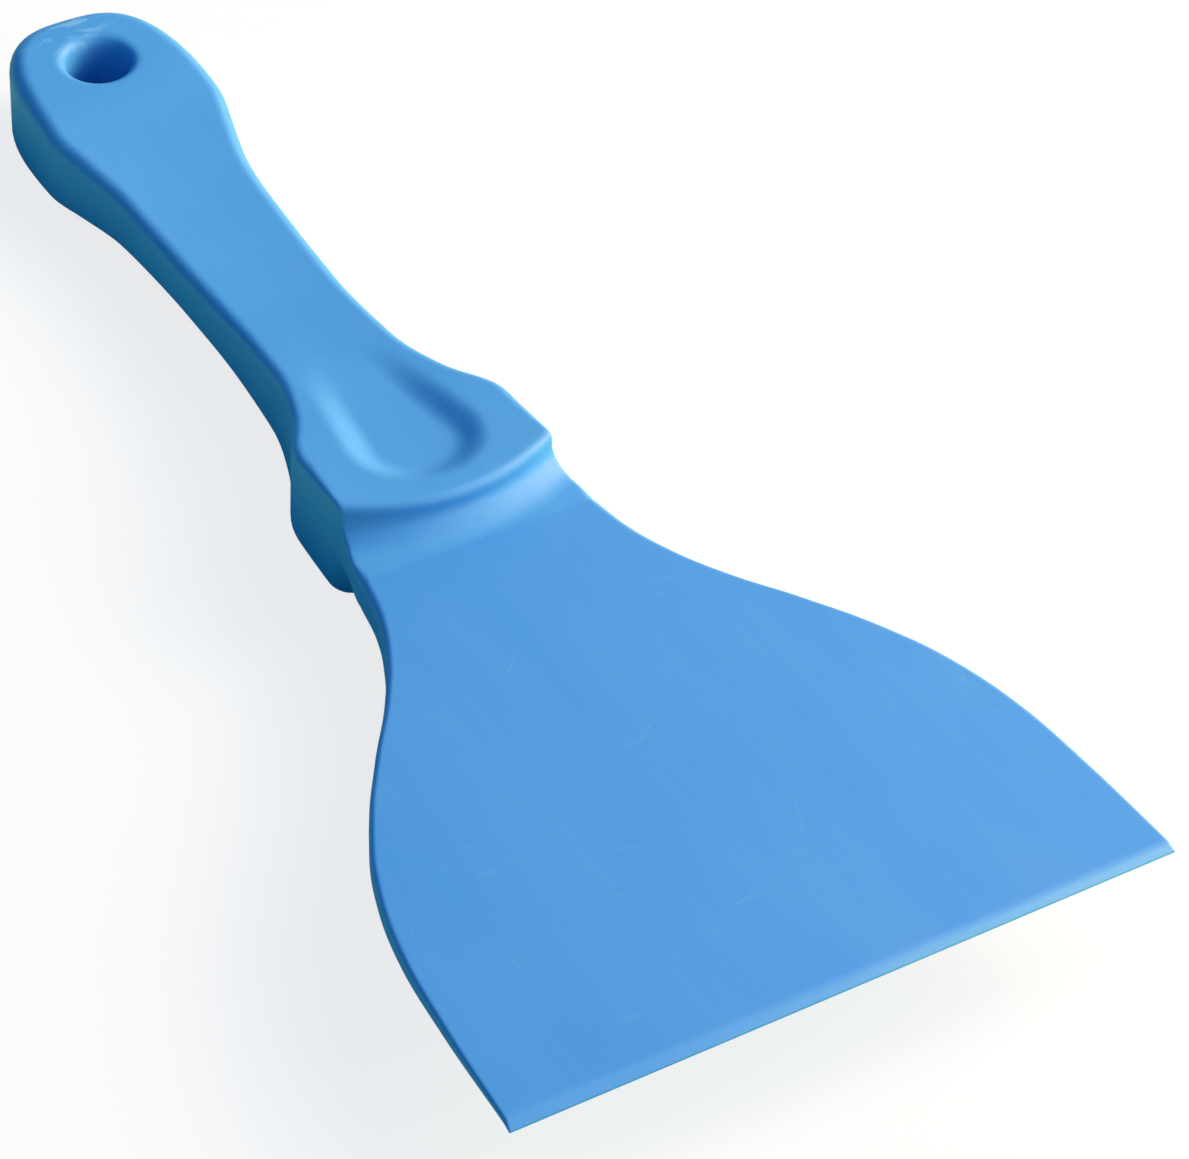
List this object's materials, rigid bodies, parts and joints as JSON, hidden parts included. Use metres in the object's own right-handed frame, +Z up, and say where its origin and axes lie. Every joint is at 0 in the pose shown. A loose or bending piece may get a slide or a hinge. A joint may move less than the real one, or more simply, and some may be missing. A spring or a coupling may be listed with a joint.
{
  "type": "hand ice scraper",
  "caption": "Moulded plastic hand scraper: a flared wedge blade with a bevelled straight edge, locked by its tang in a waisted handle with a thumb recess and a hang hole.",
  "frame": {"origin": "on the table, under the middle of the whole length and width, with the scraper lying on its shoulder and butt", "axes": "+Z up off the table, +Y along the handle towards the butt, -Y towards the cutting edge, +X to the right of someone looking from the cutting edge's side along +Y"},
  "size_m": [0.11, 0.254, 0.0208],
  "materials": {
    "blade_plastic": "satin, moulded, faint flow marks",
    "handle_plastic": "satin, moulded, fine grain"
  },
  "bodies": {
    "root": {"blade": "blade_plastic", "handle": "handle_plastic"}
  },
  "joints": []
}
